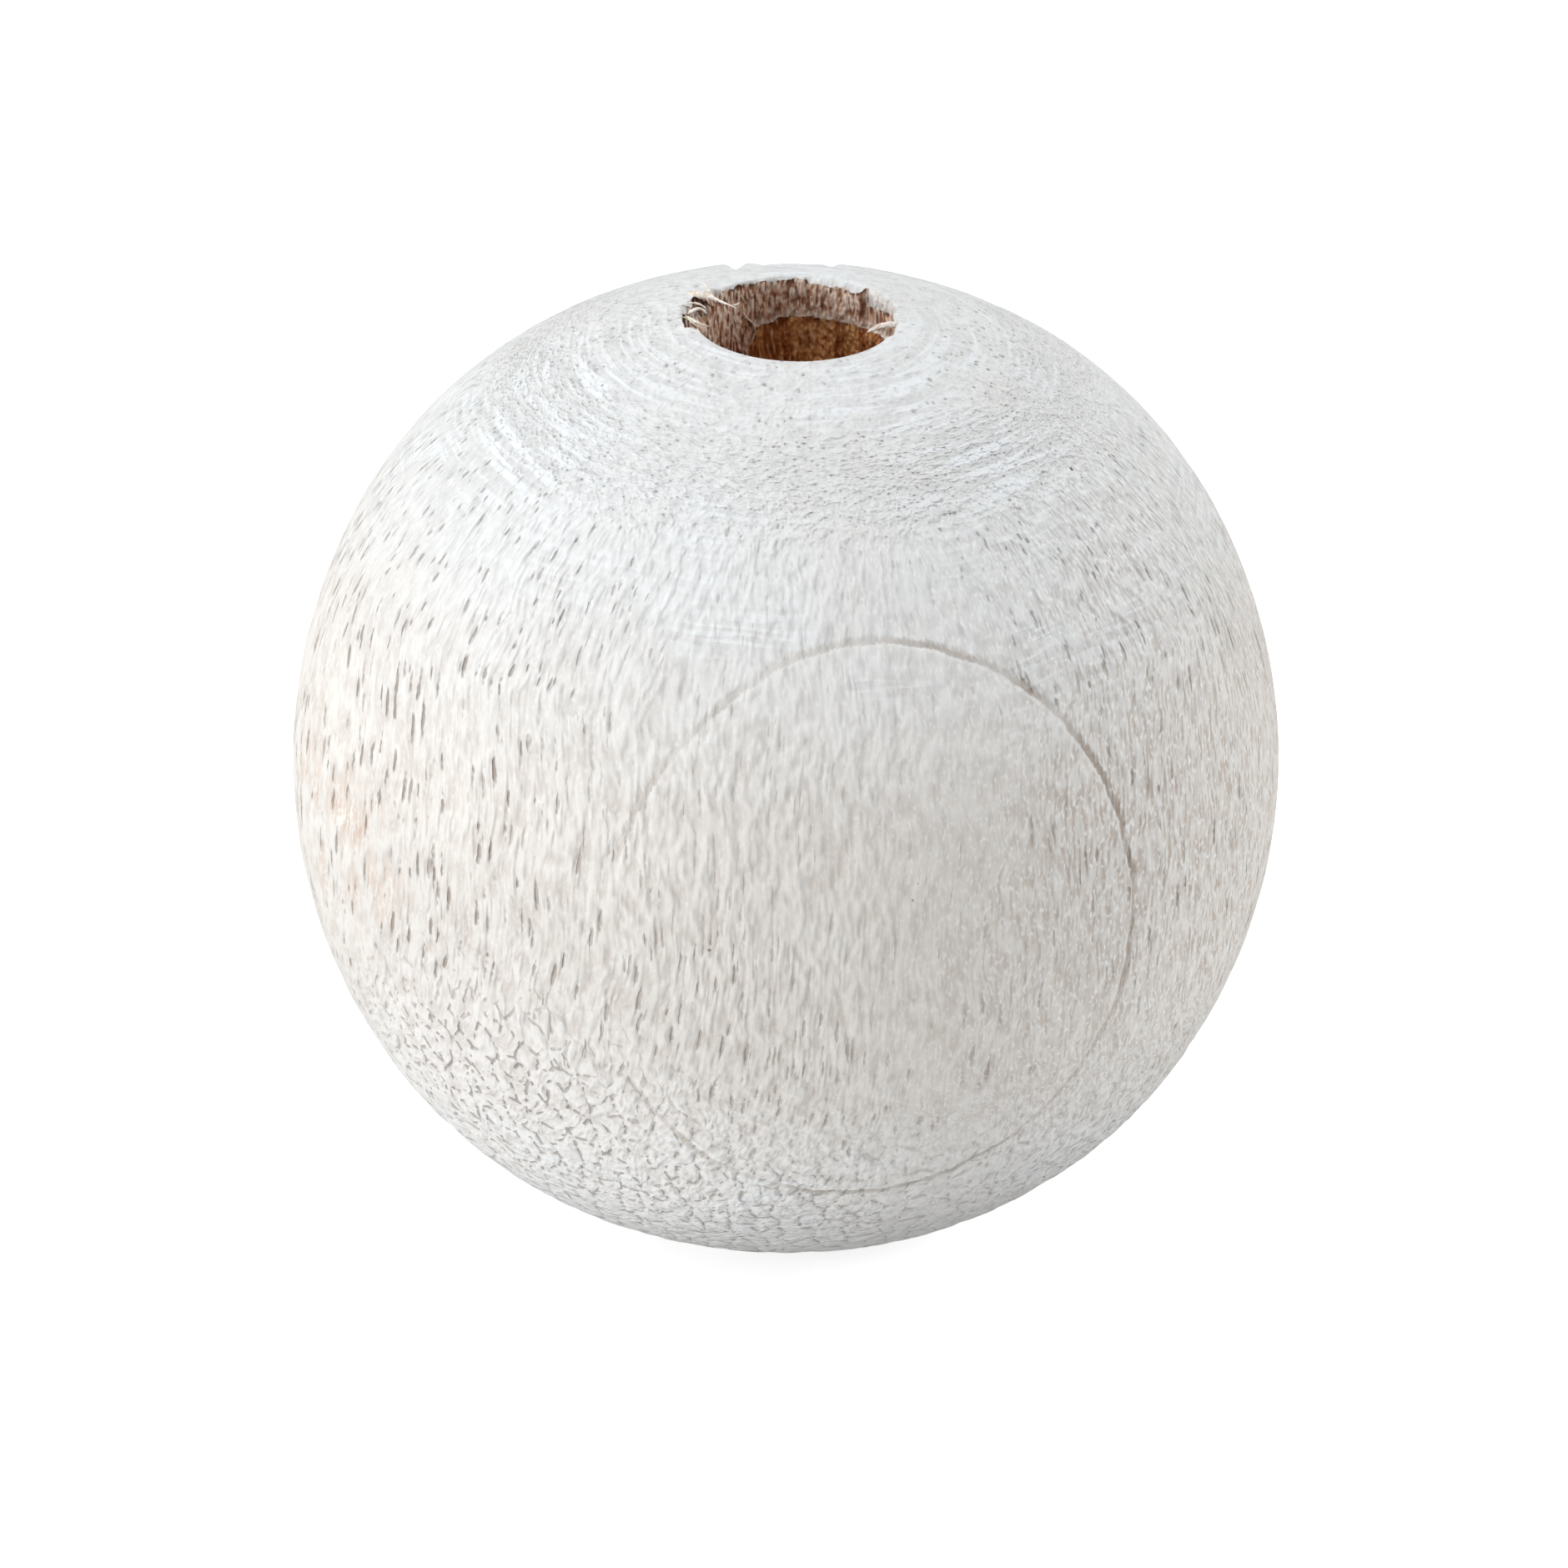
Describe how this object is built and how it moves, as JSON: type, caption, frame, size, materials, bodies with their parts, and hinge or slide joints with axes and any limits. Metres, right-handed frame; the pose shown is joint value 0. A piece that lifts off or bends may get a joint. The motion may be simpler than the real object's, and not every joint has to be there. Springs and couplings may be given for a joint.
{
  "type": "wooden bead",
  "caption": "Turned round wooden bead with a thin white wash, its grain showing, and a bore right through whose upper mouth is torn.",
  "frame": {"origin": "middle of the bore, which is the middle of the bead", "axes": "+Z along the bore, towards the torn mouth; -Y towards the viewer"},
  "size_m": [0.02, 0.02, 0.0196],
  "materials": {
    "whitewashed_wood": "matt thin white wash over turned wood, raw orange-brown wood inside the bore"
  },
  "bodies": {
    "root": {"bead": "whitewashed_wood"}
  },
  "joints": []
}
